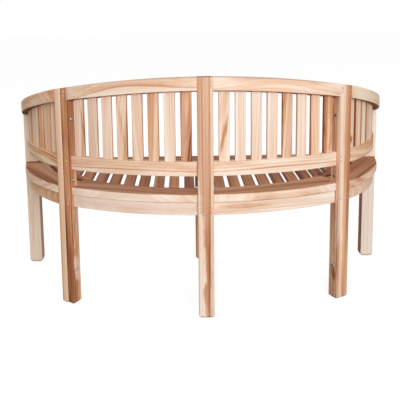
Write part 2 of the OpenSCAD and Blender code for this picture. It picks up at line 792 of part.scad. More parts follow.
// Three-cornered blocks between the front posts, the front aprons and the front leg
module corner_blocks() color(tan_wood) stand() for (s = [0, 1]) mirror([s, 0, 0]) {
    translate([front_x, front_apron_y, front_span_z[0]]) linear_extrude(front_apron_h)
        polygon([[0, 0], [-block_l, 0], [0, front_y0 - front_apron_y]]);
    translate([post_w / 2, front_apron_y, front_span_z[0]]) linear_extrude(front_apron_h)
        polygon([[0, 0], [block_l, 0], [0, front_y0 - front_apron_y]]);
}

module joint_pins() color(brown) stand() all_pins(0);

module post_bolts() color(steel) stand() {
    for (s = [0, 1]) mirror([s, 0, 0]) at_pair_bolts() translate([-washer_t, 0, 0]) bolt(bolt_len);
    at_middle_bolt() translate([-washer_t, 0, 0]) bolt(bolt_len + post_w - 2 * half_w);
}

module bolt_washers() color(steel) stand() {
    for (s = [0, 1]) mirror([s, 0, 0]) at_pair_bolts()
        for (x = [-washer_t, 2 * half_w]) translate([x, 0, 0]) washer();
    at_middle_bolt() for (x = [-washer_t, post_w]) translate([x, 0, 0]) washer();
}

module bolt_nuts() color(steel) stand() {
    for (s = [0, 1]) mirror([s, 0, 0]) at_pair_bolts() translate([2 * half_w + washer_t, 0, 0]) nut();
    at_middle_bolt() translate([post_w + washer_t, 0, 0]) nut();
}

centre_rear_post();
back_post(-1, brown);  // back_post_left
back_post(1, pale);  // back_post_right
arm_rear_post(-1, pale);  // arm_rear_post_left
arm_rear_post(1, honey);  // arm_rear_post_right
front_post_piece(-1, pale);  // front_post_left
front_post_piece(1, pale);  // front_post_right
centre_front_leg();
top_rail(-1, honey);  // top_rail_left
top_rail(1, honey);  // top_rail_right
arm_rail(-1, tan_wood);  // arm_rail_left
arm_rail(1, pale);  // arm_rail_right
lower_rail(-1, pale);  // lower_rail_left
lower_rail(1, pale);  // lower_rail_right
arm_lower_rail(-1, honey);  // arm_lower_rail_left
arm_lower_rail(1, honey);  // arm_lower_rail_right
back_slats(-1);  // back_slats_left
back_slats(1);  // back_slats_right
arm_slats(-1);  // arm_slats_left
arm_slats(1);  // arm_slats_right
seat_rear_rim(-1, pale);  // seat_rear_rim_left
seat_rear_rim(1, pale);  // seat_rear_rim_right
arm_seat_rim(-1, honey);  // arm_seat_rim_left
arm_seat_rim(1, honey);  // arm_seat_rim_right
arm_seat_board(-1, honey);  // arm_seat_board_left
arm_seat_board(1, honey);  // arm_seat_board_right
seat_front_rim();
seat_slats(-1);  // seat_slats_left
seat_slats(1);  // seat_slats_right
seat_middle_slat();
rear_apron(-1, pale);  // rear_apron_left
rear_apron(1, honey);  // rear_apron_right
arm_apron(-1, tan_wood);  // arm_apron_left
arm_apron(1, honey);  // arm_apron_right
front_apron(-1, honey);  // front_apron_left
front_apron(1, honey);  // front_apron_right
middle_bearer();
side_bearer(-1);  // side_bearer_left
side_bearer(1);  // side_bearer_right
corner_blocks();
joint_pins();
post_bolts();
bolt_washers();
bolt_nuts();
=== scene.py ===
import math
import random

import bmesh
import bpy
import numpy as np
from mathutils import Matrix, Vector


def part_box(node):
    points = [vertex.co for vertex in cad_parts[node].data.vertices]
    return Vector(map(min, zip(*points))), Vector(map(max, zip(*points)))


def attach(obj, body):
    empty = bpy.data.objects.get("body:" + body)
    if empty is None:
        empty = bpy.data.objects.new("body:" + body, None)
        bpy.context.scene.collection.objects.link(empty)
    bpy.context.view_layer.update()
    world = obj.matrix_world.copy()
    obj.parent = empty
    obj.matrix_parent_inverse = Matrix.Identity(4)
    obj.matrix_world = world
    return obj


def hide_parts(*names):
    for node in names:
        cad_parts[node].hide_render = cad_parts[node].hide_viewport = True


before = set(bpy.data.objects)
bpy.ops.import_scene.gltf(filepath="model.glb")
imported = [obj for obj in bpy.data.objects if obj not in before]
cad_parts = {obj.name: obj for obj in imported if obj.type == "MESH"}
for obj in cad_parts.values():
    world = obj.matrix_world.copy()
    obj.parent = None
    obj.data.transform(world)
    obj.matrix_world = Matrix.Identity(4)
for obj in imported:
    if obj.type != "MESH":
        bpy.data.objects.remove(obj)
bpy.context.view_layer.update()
print("frame loaded")


def linear(r, g, b):
    # A colour picked on screen, 0 to 255, as the shader wants it
    def channel(value):
        value /= 255
        return value / 12.92 if value <= 0.04045 else ((value + 0.055) / 1.055) ** 2.4
    return (channel(r), channel(g), channel(b), 1.0)


class Nodes:
    # Short ways to add nodes to a tree and link them
    def __init__(self, tree):
        self.tree = tree

    def add(self, kind, **values):
        node = self.tree.nodes.new(kind)
        for key, value in values.items():
            setattr(node, key, value)
        return node

    def link(self, source, target):
        if isinstance(source, (int, float, tuple, list)):
            target.default_value = source
        else:
            self.tree.links.new(source, target)

    def math(self, operation, a, b=None, c=None, clamp=False):
        node = self.add("ShaderNodeMath", operation=operation, use_clamp=clamp)
        for socket, value in zip(node.inputs, (a, b, c)):
            if value is not None:
                self.link(value, socket)
        return node.outputs[0]

    def plus(self, base, value, scale, clamp=False):
        # base + value * scale
        return self.math("MULTIPLY_ADD", value, scale, base, clamp=clamp)

    def centred(self, noise):
        return self.math("SUBTRACT", noise, 0.5)

    def vector(self, operation, a, b=None):
        node = self.add("ShaderNodeVectorMath", operation=operation)
        self.link(a, node.inputs[0])
        if b is not None:
            self.link(b, node.inputs[1])
        return node.outputs["Value"] if operation in ("LENGTH", "DOT_PRODUCT") else node.outputs[0]

    def parts(self, vector):
        node = self.add("ShaderNodeSeparateXYZ")
        self.link(vector, node.inputs[0])
        return node.outputs[0], node.outputs[1], node.outputs[2]

    def attribute(self, name, output="Vector"):
        node = self.add("ShaderNodeAttribute", attribute_name=name, attribute_type="GEOMETRY")
        return node.outputs[output]

    def noise(self, vector, stretch, detail=2.0, roughness=0.5, distortion=0.0):
        # About one blotch for each unit, after the stretch in blotches per metre
        node = self.add("ShaderNodeTexNoise", noise_dimensions="3D")
        self.link(self.vector("MULTIPLY", vector, stretch), node.inputs["Vector"])
        for name, value in (("Scale", 1.0), ("Detail", detail), ("Roughness", roughness),
                            ("Distortion", distortion)):
            node.inputs[name].default_value = value
        return node.outputs["Fac"]

    def noiseAlong(self, value, scale):
        node = self.add("ShaderNodeTexNoise", noise_dimensions="1D")
        self.link(value, node.inputs["W"])
        node.inputs["Scale"].default_value = scale
        node.inputs["Detail"].default_value = 2.0
        return node.outputs["Fac"]

    def remap(self, value, low, high, toLow=0.0, toHigh=1.0):
        node = self.add("ShaderNodeMapRange", interpolation_type="SMOOTHSTEP")
        self.link(value, node.inputs["Value"])
        for name, number in (("From Min", low), ("From Max", high), ("To Min", toLow), ("To Max", toHigh)):
            self.link(number, node.inputs[name])
        return node.outputs[0]

    def ramp(self, value, stops):
        node = self.add("ShaderNodeValToRGB")
        elements = node.color_ramp.elements
        while len(elements) > 1:
            elements.remove(elements[-1])
        elements[0].position, elements[0].color = stops[0]
        for position, colour in stops[1:]:
            elements.new(position).color = colour
        self.link(value, node.inputs[0])
        return node.outputs[0]

    def mix(self, factor, a, b):
        # The factor isn't clamped, so a warmth of more than 1 goes on past the second colour
        node = self.add("ShaderNodeMix", data_type="RGBA", clamp_factor=False)
        self.link(factor, node.inputs[0])
        self.link(a, node.inputs[6])
        self.link(b, node.inputs[7])
        return node.outputs[2]

    def choice(self, factor, shaderA, shaderB):
        node = self.add("ShaderNodeMixShader")
        for source, target in zip((factor, shaderA, shaderB), node.inputs):
            self.link(source, target)
        return node.outputs[0]


# Teak: two scales of colour from pale sapwood to dark heartwood. Sizes are in metres, and what ends in
# Dark is how far that mark moves the tone, from 0 for pale to 1 for dark
wood = {
    "rosy": [
        (0.0, linear(248, 238, 230)), (0.2, linear(242, 222, 207)), (0.4, linear(226, 192, 168)),
        (0.6, linear(200, 150, 118)), (0.8, linear(160, 104, 74)), (1.0, linear(96, 56, 38)),
    ],
    "golden": [
        (0.0, linear(249, 236, 218)), (0.2, linear(246, 218, 189)), (0.4, linear(235, 187, 148)),
        (0.6, linear(211, 149, 103)), (0.8, linear(174, 107, 67)), (1.0, linear(110, 60, 36)),
    ],
    "ringPitch": 0.0046, "ringStart": (0.30, 0.92), "ringStop": (1.0, 0.94), "weakestRing": 0.2,
    "drift": 0.016, "waver": 0.0028,  # how far the rings stray, slowly and quickly
    "sapEdge": 0.003, "sapLine": 0.0035,  # widths of the sapwood's border and of the dark line inside it
    "flamesPerMetre": 95.0, "flameEdges": (0.36, 0.66), "flameDark": (-0.45, 0.55), "flameLeast": 0.35,
    "flameShare": 0.6,  # of the board's streaks
    "bandDark": (-0.5, 0.5), "hairDark": 0.22, "ringDark": 0.12, "poreDark": 0.06, "endDark": 0.16,
    "softMark": 0.2, "crispMark": 0.6, "markWave": 1.6,  # full from this share of the mark on, and its wave
    "roughness": 0.66, "poreRough": 0.14, "ringRough": 0.06, "endRough": 0.15,
    "bump": 0.0003, "bumpStrength": 0.3, "ringDepth": -0.3, "poreDepth": -0.7,
    "specular": 0.15,
    "endFacing": (0.72, 0.94),  # cosines to the grain between which a face becomes end grain
}

# Blotches per metre along and across the board, and the part of the noise that is spread from 0 to 1
woodNoises = {
    "drift": {"along": 1.3, "across": 7.0, "detail": 1.0},
    "waver": {"along": 7.0, "across": 40.0},
    "band": {"along": 0.9, "across": 19.0, "detail": 1.5, "edges": (0.33, 0.67)},
    "flameRun": {"along": 2.1, "across": 10.0, "detail": 1.0, "edges": (0.35, 0.6)},
    "hair": {"along": 4.0, "across": 210.0, "detail": 3.0, "roughness": 0.6},
    "pore": {"along": 42.0, "across": 1100.0, "roughness": 0.6, "edges": (0.56, 0.70)},
    "smear": {"along": 3.2, "across": 24.0, "distortion": 0.5, "edges": (0.57, 0.68)},
    "wave": {"along": 16.0, "across": 70.0},
}

# The group's vector inputs, and the attribute of the mesh that feeds each. Grain: place in the board
# (along, across, through). Heart: the same from the log's middle. Board: tone, warmth, streaks.
# Figure: sapwood's radius, its strength, strength of the rings. Touches: dark smears, change of tone
# across the board, dark line round the sapwood. Flame and Patch: place within a soft and a crisp mark,
# 1 at its border, and how dark it is
boardInputs = {
    "Grain": "grain", "Heart": "heart", "Board": "board", "Figure": "figure", "Touches": "touches",
    "Flame": "darkFlame", "Patch": "patch",
}


def blotches(n, grain, kind, toLow=0.0, toHigh=1.0):
    noise = woodNoises[kind]
    options = {key: noise[key] for key in ("detail", "roughness", "distortion") if key in noise}
    value = n.noise(grain, (noise["along"], noise["across"], noise["across"]), **options)
    return n.remap(value, *noise["edges"], toLow, toHigh) if "edges" in noise else value


def woodGroup():
    # Besides the vectors it takes Ends, 1 on end grain, and Shade, painted shade that darkens a whole face
    tree = bpy.data.node_groups.new("teakFigure", "ShaderNodeTree")
    for name in boardInputs:
        tree.interface.new_socket(name=name, in_out="INPUT", socket_type="NodeSocketVector")
    for name in ("Ends", "Shade"):
        tree.interface.new_socket(name=name, in_out="INPUT", socket_type="NodeSocketFloat")
    tree.interface.new_socket(name="Color", in_out="OUTPUT", socket_type="NodeSocketColor")
    for name in ("Roughness", "Height"):
        tree.interface.new_socket(name=name, in_out="OUTPUT", socket_type="NodeSocketFloat")
    n = Nodes(tree)
    inside = n.add("NodeGroupInput").outputs
    grain, heart = inside["Grain"], inside["Heart"]
    tone, warmth, streaks = n.parts(inside["Board"])
    sapRadius, sapStrength, ringing = n.parts(inside["Figure"])
    smears, tilt, rimDark = n.parts(inside["Touches"])

    # distance from the log's middle, wandering along the board
    radius = n.vector("LENGTH", n.vector("MULTIPLY", heart, (0.0, 1.0, 1.0)))
    for kind in ("drift", "waver"):
        radius = n.plus(radius, n.centred(blotches(n, grain, kind)), wood[kind])

    # rings, each with its own strength
    years = n.math("DIVIDE", radius, wood["ringPitch"])
    phase = n.math("FRACT", years)
    ring = n.math("MULTIPLY", n.remap(phase, *wood["ringStart"]), n.remap(phase, *wood["ringStop"]))
    year = n.add("ShaderNodeTexWhiteNoise", noise_dimensions="1D")
    n.link(n.math("FLOOR", years), year.inputs["W"])
    strength = n.plus(wood["weakestRing"], year.outputs["Value"], 1 - wood["weakestRing"])
    ring = n.math("MULTIPLY", ring, strength)

    # pale sapwood, with a thin dark line where it begins
    sap = n.remap(radius, sapRadius, n.math("ADD", sapRadius, wood["sapEdge"]))
    rim = n.math("MULTIPLY", n.math("SUBTRACT", 1.0, sap),
                 n.remap(radius, n.math("SUBTRACT", sapRadius, wood["sapLine"]), sapRadius))

    # slow bands and flames that follow the rings, hair-fine grain, rings, short open pores and smears
    flames = n.noiseAlong(radius, wood["flamesPerMetre"])
    flames = n.math("MULTIPLY", n.remap(flames, *wood["flameEdges"], *wood["flameDark"]),
                    blotches(n, grain, "flameRun", wood["flameLeast"]))
    pore = blotches(n, grain, "pore")
    level = n.plus(tone, blotches(n, grain, "band", *wood["bandDark"]), streaks)
    level = n.plus(level, n.parts(heart)[1], tilt)
    level = n.plus(level, rim, rimDark)
    level = n.plus(level, flames, n.math("MULTIPLY", streaks, wood["flameShare"]))
    level = n.plus(level, n.centred(blotches(n, grain, "hair")), wood["hairDark"])
    level = n.plus(level, ring, n.math("MULTIPLY", ringing, wood["ringDark"]))
    level = n.plus(level, pore, wood["poreDark"])
    level = n.plus(level, blotches(n, grain, "smear"), smears)
    # painted shade: the darker undersides, edges and inner faces from the shade attribute
    level = n.math("ADD", level, inside["Shade"])
    level = n.math("SUBTRACT", level, n.math("MULTIPLY", sap, sapStrength))

    # the two marks, with wavering borders
    wave = n.centred(blotches(n, grain, "wave"))
    for name, full in (("Flame", wood["softMark"]), ("Patch", wood["crispMark"])):
        markX, markY, dark = n.parts(inside[name])
        waved = n.plus(markY, wave, wood["markWave"])
        spread = n.math("SQRT", n.plus(n.math("MULTIPLY", waved, waved), markX, markX))
        level = n.plus(level, n.remap(spread, 1.0, full), dark)
    level = n.plus(level, inside["Ends"], wood["endDark"], clamp=True)

    out = n.add("NodeGroupOutput").inputs
    n.link(n.mix(warmth, n.ramp(level, wood["rosy"]), n.ramp(level, wood["golden"])), out["Color"])
    dull = n.plus(n.plus(wood["roughness"], ring, wood["ringRough"]), pore, wood["poreRough"])
    n.link(n.plus(dull, inside["Ends"], wood["endRough"]), out["Roughness"])
    n.link(n.plus(n.math("MULTIPLY", pore, wood["poreDepth"]), ring, wood["ringDepth"]), out["Height"])
    return tree


def woodMaterial(name, figureGroup):
    material = bpy.data.materials.new(name)
    material.use_nodes = True
    shader = material.node_tree.nodes["Principled BSDF"]
    n = Nodes(material.node_tree)
    figure = n.add("ShaderNodeGroup", node_tree=figureGroup)
    for socket, attribute in boardInputs.items():
        n.link(n.attribute(attribute), figure.inputs[socket])
    facing = n.add("ShaderNodeTexCoord").outputs["Normal"]
    square = n.math("ABSOLUTE", n.vector("DOT_PRODUCT", n.attribute("along"), facing))
    n.link(n.remap(square, *wood["endFacing"]), figure.inputs["Ends"])
    # painted shade for whole faces, from the shade attribute
    n.link(n.attribute("shade", "Fac"), figure.inputs["Shade"])
    n.link(figure.outputs["Color"], shader.inputs["Base Color"])
    n.link(figure.outputs["Roughness"], shader.inputs["Roughness"])
    bump = n.add("ShaderNodeBump")
    bump.inputs["Strength"].default_value = wood["bumpStrength"]
    bump.inputs["Distance"].default_value = wood["bump"]
    n.link(figure.outputs["Height"], bump.inputs["Height"])
    n.link(bump.outputs[0], shader.inputs["Normal"])
    shader.inputs["Specular IOR Level"].default_value = wood["specular"]
    return material


# Bolts: colours between which the steel is smudged, in the open and, near black, as painted shade in a
# socket
metal = {
    "boltSteel": ((150, 148, 146), (186, 185, 184)),
    "paintedSocketShade": ((34, 30, 28), (58, 53, 50)),
    "smudgesPerMetre": 240.0, "smudgeEdges": (0.3, 0.7), "roughness": (0.24, 0.40),
}


def metalMaterial(name):
    material = bpy.data.materials.new(name)
    material.use_nodes = True
    shader = material.node_tree.nodes["Principled BSDF"]
    n = Nodes(material.node_tree)
    place = n.add("ShaderNodeTexCoord").outputs["Object"]
    smudge = n.noise(place, (metal["smudgesPerMetre"],) * 3, detail=3.0)
    colours = [(edge, linear(*colour)) for edge, colour in zip(metal["smudgeEdges"], metal[name])]
    n.link(n.ramp(smudge, colours), shader.inputs["Base Color"])
    n.link(n.remap(smudge, *metal["smudgeEdges"], *metal["roughness"]), shader.inputs["Roughness"])
    shader.inputs["Metallic"].default_value = 1.0
    return material


teak = woodMaterial("teak", woodGroup())
steel = metalMaterial("boltSteel")
paintedSocketShade = metalMaterial("paintedSocketShade")
print("materials made")

# Distance in metres under which vertices are one, and degrees under which faces are flat or edges soft
merging = {"distance": 0.00001, "flat": 0.4, "woodSoft": 32, "metalSoft": 35}


def mergedCopy(node):
    # The CAD node's mesh as one skin
    bm = bmesh.new()
    bm.from_mesh(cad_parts[node].data)
    bmesh.ops.remove_doubles(bm, verts=bm.verts, dist=merging["distance"])
    return bm


def groupsOf(items, neighbours):
    # Splits items into the groups that hang together, in the same order on each run
    left, groups = set(items), []
    for start in items:
        if start not in left:
            continue
        left.remove(start)
        stack, group = [start], []
        while stack:
            group.append(stack.pop())
            for other in neighbours(group[-1]):
                if other in left:
                    left.remove(other)
                    stack.append(other)
        groups.append(group)
    return groups


def islands(bm):
    return groupsOf(bm.verts, lambda vert: [e.other_vert(vert) for e in vert.link_edges])


# Edges sharper than the angle are eased where they run on for longer than those of a slat's pocket
easing = {"angle": 40, "shortest": 0.16, "segments": 2}


def easeEdges(bm, width):
    limit = math.radians(easing["angle"])
    sharp = [e for e in bm.edges if len(e.link_faces) == 2 and e.calc_face_angle(0) > limit]
    chosen = []
    for run in groupsOf(sharp, lambda edge: [e for v in edge.verts for e in v.link_edges]):
        if sum(e.calc_length() for e in run) >= easing["shortest"]:
            chosen += run
    if chosen:
        bmesh.ops.bevel(bm, geom=chosen, offset=width, offset_type="OFFSET", affect="EDGES",
                        segments=easing["segments"], profile=0.5, material=-1, clamp_overlap=True)


def boardAxes(points, along):
    # The board's own directions as rows: along its grain, across it and through it
    spread = points - points.mean(0)
    if along != "slope":
        spread[:, 2] = 0
    longest, upright = Vector(np.linalg.eigh(spread.T @ spread)[1][:, 2]), Vector((0, 0, 1))
    if max(longest, key=abs) < 0:
        longest = -longest
    first, across = (upright, longest) if along == "up" else (longest, upright)
    across = (across - first * first.dot(across)).normalized()
    return Matrix((first, across, first.cross(across)))


def seenOrder(group):
    # Boards are counted from the left as seen from behind, then from the back to the front
    middle = sum((v.co for v in group), Vector()) / len(group)
    return (-round(middle.x, 3), -round(middle.y, 3), round(middle.z, 3))


def pick(value, number):
    # A list in a look holds one value for each board of the node
    return value[number % len(value)] if isinstance(value, list) else value


def markPlace(local, mark):
    # The mark's middle is given along and across the board, and it leans by its slope
    along = local[:, 0] - mark["along"]
    across = local[:, 1] - mark["across"] - along * mark["slope"]
    return np.stack((along / mark["long"], across / mark["wide"], np.full(len(local), mark["dark"])), 1)


# Heights of the foot and the lip of a seat board's outer edge. The edge is what looks away from the
# seat's middle, by more than the cosine facing
seatEdge = {"foot": 0.003, "lip": 0.001, "middleY": -0.15, "facing": 0.2}


def paintNoseLightAndShade(tones, group, look):
    # Paints light and shade on a seat board's outer edge: the nose and the lip paler than the top as painted
    # light, the foot darker again as a painted shadow line under the nose
    heights = [v.co.z for v in group]
    foot, top = min(heights) + seatEdge["foot"], max(heights) - seatEdge["lip"]
    for v in group:
        outward = Vector((v.co.x, v.co.y - seatEdge["middleY"], 0)).normalized()
        if v.normal.dot(outward) > seatEdge["facing"]:
            place = "foot" if v.co.z < foot else "lip" if v.co.z > top else "nose"
            tones[v.index, 0] = look[place]


# What is drawn at random for a board whose look doesn't say it, in metres, degrees and slope
chances = {"shift": (-9, 9), "pith": (0.04, 0.1), "turn": (0, 360), "lean": (-0.02, 0.02)}
leanThrough = 0.4  # share of the lean that goes through the board's thickness
far = (9, 9, 0)  # a place outside every mark
squareOn = 0.75  # cosine from which a face looks in a direction


def figureBoard(layers, ids, points, axes, number, look, maker):
    # Gives the vertices of one board its figure
    local = (points - points.mean(0)) @ axes.T
    shift = np.array([maker.uniform(*chances["shift"]) for axis in range(3)])
    pith = pick(look.get("pith", maker.uniform(*chances["pith"])), number)
    turn = math.radians(pick(look.get("turn", maker.uniform(*chances["turn"])), number))
    lean = pick(look.get("lean", maker.uniform(*chances["lean"])), number)
    slant = math.tan(math.radians(pick(look.get("slant", 0.0), number)))
    tilt = pick(look.get("tilt", 0.0), number)
    middle = np.array([0, math.cos(turn), math.sin(turn)]) * pith
    tone = look["toneAt"](points.mean(0)) if "toneAt" in look else pick(look["tone"], number)
    layers["grain"][ids] = local + np.outer(local[:, 0], (0, slant, 0)) + shift
    layers["heart"][ids] = local - middle + np.outer(local[:, 0], (0, lean + slant, lean * leanThrough))
    layers["board"][ids] = (tone + tilt * middle[1], pick(look["warmth"], number),
                            pick(look["streaks"], number))
    layers["figure"][ids] = (look.get("sap", 1.0), look.get("sapStrength", 0.28), look.get("rings", 0.8))
    layers["touches"][ids] = (pick(look.get("smears", 0.0), number), tilt, look.get("rim", 0.2))
    layers["along"][ids] = axes[0]
    for layer, marks in (("darkFlame", "flames"), ("patch", "patches")):
        layers[layer][ids] = markPlace(local, look[marks][number]) if number in look.get(marks, {}) else far


def paintShadeOnFaces(shades, group, across, side, look):
    # Paints shade on a board: darkens its underside, its two edges and the face that looks towards the
    # bench's middle, where shade falls
    for face in {face for v in group for face in v.link_faces}:
        if face.normal.z < -squareOn:
            shades[face.index] = look.get("under", 0.0)
        elif abs(face.normal.dot(across)) > squareOn:
            shades[face.index] = look.get("sides", 0.0)
        if "inner" in look and face.normal.x * side < -squareOn:
            shades[face.index] = look["inner"]


def meshOf(bm, name):
    mesh = bpy.data.meshes.new(name)
    bm.to_mesh(mesh)
    bm.free()
    return mesh


def placed(name, data):
    item = bpy.data.objects.new(name, data)
    bpy.context.scene.collection.objects.link(item)
    return item


def addPiece(mesh, node, softAngle, materials, weighted):
    # Puts the finished mesh in the place of the CAD node
    mesh.shade_smooth()
    mesh.set_sharp_from_angle(angle=math.radians(softAngle))
    for material in materials:
        mesh.materials.append(material)
    piece = placed(mesh.name, mesh)
    if weighted:
        piece.modifiers.new("weights", "WEIGHTED_NORMAL").keep_sharp = True
    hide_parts(node)
    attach(piece, "root")


def camelName(node, ending):
    first, *rest = node.split("_")
    return first + "".join(word.capitalize() for word in rest) + ending


def finishBoards(bm, name, node, look):
    # Turns the mesh into a piece and gives every board of it a figure of its own
    bm.verts.index_update()
    bm.faces.index_update()
    bm.normal_update()
    layers = {title: np.zeros((len(bm.verts), 3), np.float32) for title in (*boardInputs.values(), "along")}
    # painted shade, one value for each face
    shades = np.zeros(len(bm.faces), np.float32)
    maker = random.Random(name)
    for number, group in enumerate(sorted(islands(bm), key=seenOrder)):
        points = np.array([list(v.co) for v in group])
        axes = np.array(boardAxes(points, look["along"]))
        figureBoard(layers, [v.index for v in group], points, axes, number, look, maker)
        # painted light on the nose and lip, and a painted shadow line at the foot
        if "nose" in look:
            paintNoseLightAndShade(layers["board"], group, look)
        paintShadeOnFaces(shades, group, Vector(axes[1]), np.sign(points.mean(0)[0]), look)
    mesh = meshOf(bm, name)
    for title, values in layers.items():
        mesh.attributes.new(title, "FLOAT_VECTOR", "POINT").data.foreach_set("vector", values.ravel())
    mesh.attributes.new("shade", "FLOAT", "FACE").data.foreach_set("value", shades)
    addPiece(mesh, node, merging["woodSoft"], [teak], True)


def makeBoards(looks):
    for node, look in looks.items():
        bm = mergedCopy(node)
        bmesh.ops.dissolve_limit(bm, angle_limit=math.radians(merging["flat"]), verts=bm.verts,
                                 edges=bm.edges)
        if "ease" in look:
            easeEdges(bm, look["ease"])
        finishBoards(bm, camelName(node, "Wood"), node, look)


# What a look can say, in metres and degrees:
# along: way of the grain, up, level or on the slope. ease: rounding of the long edges.
# tone: 0 is pale, 1 is dark. warmth: 0 is rosy, 1 is golden. streaks, rings, smears: how strong they are.
# pith, turn, lean: how far and which way the log's middle lies, and how it leans along the board.
# sap, sapStrength, rim: the sapwood's radius, how pale it is and the dark line round it.
# tilt: change of tone for each metre across. slant: angle of the grain to the board.
# under, sides, inner: painted shade on those faces. nose, lip, foot: tones of a seat board's outer edge, a
# paler nose and lip as painted light and a darker foot as a painted shadow line.
# flames, patches: a soft and a crisp mark on the board of that number, measured from the mean of its
# vertices.

# Posts
postLooks = {
    "centre_rear_post": {
        "along": "up", "tone": 0.49, "warmth": 0.12, "streaks": 0.22, "rings": 0.5,
        "pith": 0.09, "turn": 0, "lean": 0.012, "sap": 0.106, "sapStrength": 0.18,
        "flames": {
            0: {"along": -0.47, "across": -0.008, "long": 0.30, "wide": 0.018, "slope": 0.01, "dark": 0.14},
        },
        "patches": {
            0: {"along": -0.44, "across": 0.026, "long": 0.42, "wide": 0.026, "slope": 0.02, "dark": -0.25},
        },
    },
    "back_post_left": {
        "along": "up", "tone": 0.57, "warmth": 0.6, "streaks": 0.38, "smears": 0.1,
        "flames": {
            0: {"along": -0.46, "across": 0.018, "long": 0.38, "wide": 0.044, "slope": 0.0, "dark": 0.34},
        },
        "patches": {
            0: {"along": -0.415, "across": -0.006, "long": 0.06, "wide": 0.02, "slope": 0.1, "dark": -0.24},
        },
    },
    "arm_rear_post_left": {"along": "up", "tone": 0.43, "warmth": 0.8, "streaks": 0.34},
    "back_post_right": {
        "along": "up", "tone": 0.41, "warmth": 0.35, "streaks": 0.42, "smears": 0.14,
        "flames": {
            0: {"along": -0.36, "across": -0.010, "long": 0.2, "wide": 0.022, "slope": 0.0, "dark": -0.18},
        },
        "patches": {
            0: {"along": -0.445, "across": -0.002, "long": 0.04, "wide": 0.014, "slope": -0.1, "dark": 0.28},
        },
    },
    "arm_rear_post_right": {"along": "up", "tone": 0.61, "warmth": 0.6, "streaks": 0.44},
    # inner: painted shade on the face towards the bench's middle
    "front_post_left": {"along": "up", "tone": 0.12, "warmth": 0.45, "streaks": 0.2, "inner": 0.35},
    "front_post_right": {"along": "up", "tone": 0.16, "warmth": 0.1, "streaks": 0.2, "inner": 0.62},
    "centre_front_leg": {"along": "up", "tone": 0.66, "warmth": 0.9, "streaks": 0.3},
}
makeBoards(postLooks)

# Top rails, sawn in a curve out of straight planks
# under: painted shade on the rails' undersides
railLooks = {
    "top_rail_left": {"along": "slope", "tone": 0.37, "warmth": 0.35, "streaks": 0.14, "rings": 0.3,
                      "pith": 0.0706, "turn": 32, "sap": 0.0858, "sapStrength": 0.13, "lean": 0.018,
                      "under": 0.5},
    "top_rail_right": {"along": "slope", "tone": 0.29, "warmth": 0.4, "streaks": 0.2, "rings": 0.6,
                       "under": 0.5},
    "arm_rail_left": {"along": "slope", "tone": 0.44, "warmth": 0.9, "streaks": 0.3, "rings": 0.6,
                      "under": 0.9},
    "arm_rail_right": {"along": "slope", "tone": 0.23, "warmth": 0.9, "streaks": 0.26, "rings": 0.7,
                       "under": 0.7},
}
makeBoards(railLooks)

# Rails below the slats. The back's have sapwood along their lower edge
lowLooks = {
    "lower_rail_left": {"along": "level", "tone": 0.27, "warmth": 0.4, "streaks": 0.28, "tilt": -3.5,
                        "pith": 0.07, "turn": 0, "sap": 0.092, "sapStrength": 0.08, "rim": 0.2,
                        "ease": 0.004},
    "lower_rail_right": {"along": "level", "tone": 0.28, "warmth": 0.4, "streaks": 0.32, "tilt": -3.5,
                         "pith": 0.075, "turn": 0, "sap": 0.094, "sapStrength": 0.1, "rim": 0.3,
                         "ease": 0.004},
    "arm_lower_rail_left": {"along": "level", "tone": 0.34, "warmth": 1.1, "streaks": 0.6, "ease": 0.004},
    "arm_lower_rail_right": {"along": "level", "tone": 0.31, "warmth": 0.9, "streaks": 0.3, "rings": 0.5,
                             "ease": 0.004},
}
makeBoards(lowLooks)

# Upright slats, each list in the order seen from behind
# sides: painted shade on the slats' edges
slatLooks = {
    "back_slats_left": {
        "along": "up", "sides": 0.22, "warmth": [0.4, 0.1, 0.3, 0.4, 0.35, 0.5, 0.3, 0.3],
        "tone": [0.26, 0.36, 0.29, 0.41, 0.35, 0.42, 0.21, 0.58],
        "streaks": [0.3, 0.22, 0.24, 0.44, 0.26, 0.3, 0.2, 0.5],
        "slant": [3, -2, 1, 8, -3, 2, 0, 4], "smears": [0.1, 0, 0, 0.1, 0.1, 0, 0, 0.1],
        "tilt": [-1, 0, 1, -3, 2, 2, 0, 0],
        "flames": {
            0: {"along": 0.03, "across": -0.012, "long": 0.11, "wide": 0.006, "slope": 0.09, "dark": 0.2},
            3: {"along": 0.0, "across": 0.0, "long": 0.12, "wide": 0.007, "slope": 0.15, "dark": 0.13},
        },
    },
    "back_slats_right": {
        "along": "up", "sides": 0.22, "warmth": [0.3, 0.15, 0.15, 0.15, 0.3, 0.3, 0.7, 0.7],
        "tone": [0.16, 0.25, 0.20, 0.19, 0.50, 0.28, 0.41, 0.45],
        "streaks": [0.24, 0.2, 0.2, 0.24, 0.44, 0.2, 0.3, 0.3],
        "slant": [5, 1, 2, 0, 3, 0, -2, 2], "smears": [0.1, 0, 0, 0, 0.2, 0, 0, 0.2],
        "tilt": [0, 0, 0, 1, 3, 0, 3, 5],
        "flames": {
            0: {"along": -0.035, "across": 0.002, "long": 0.1, "wide": 0.01, "slope": -0.2, "dark": 0.34},
        },
    },
    "arm_slats_left": {
        "along": "up", "sides": 0.2, "warmth": [0.6, 0.7, 0.9, 1.0, 0.8, 0.9, 0.8, 0.9],
        "tone": [0.25, 0.26, 0.27, 0.39, 0.37, 0.30, 0.24, 0.30],
        "streaks": [0.3, 0.36, 0.44, 0.5, 0.4, 0.5, 0.3, 0.44], "tilt": [0, 3, -3, 4, 0, -4, 2, 3],
    },
    "arm_slats_right": {
        "along": "up", "sides": 0.44, "warmth": [0.6, 0.6, 0.5, 0.8, 0.5, 0.6, 0.5, 0.5],
        "tone": [0.19, 0.31, 0.22, 0.43, 0.16, 0.35, 0.28, 0.24],
        "streaks": 0.26, "tilt": [0, 6, 2, 3, 0, 0, 0, 0],
        "flames": {
            0: {"along": -0.06, "across": 0.0, "long": 0.022, "wide": 0.018, "slope": 0.0, "dark": 0.5},
        },
    },
}
makeBoards(slatLooks)
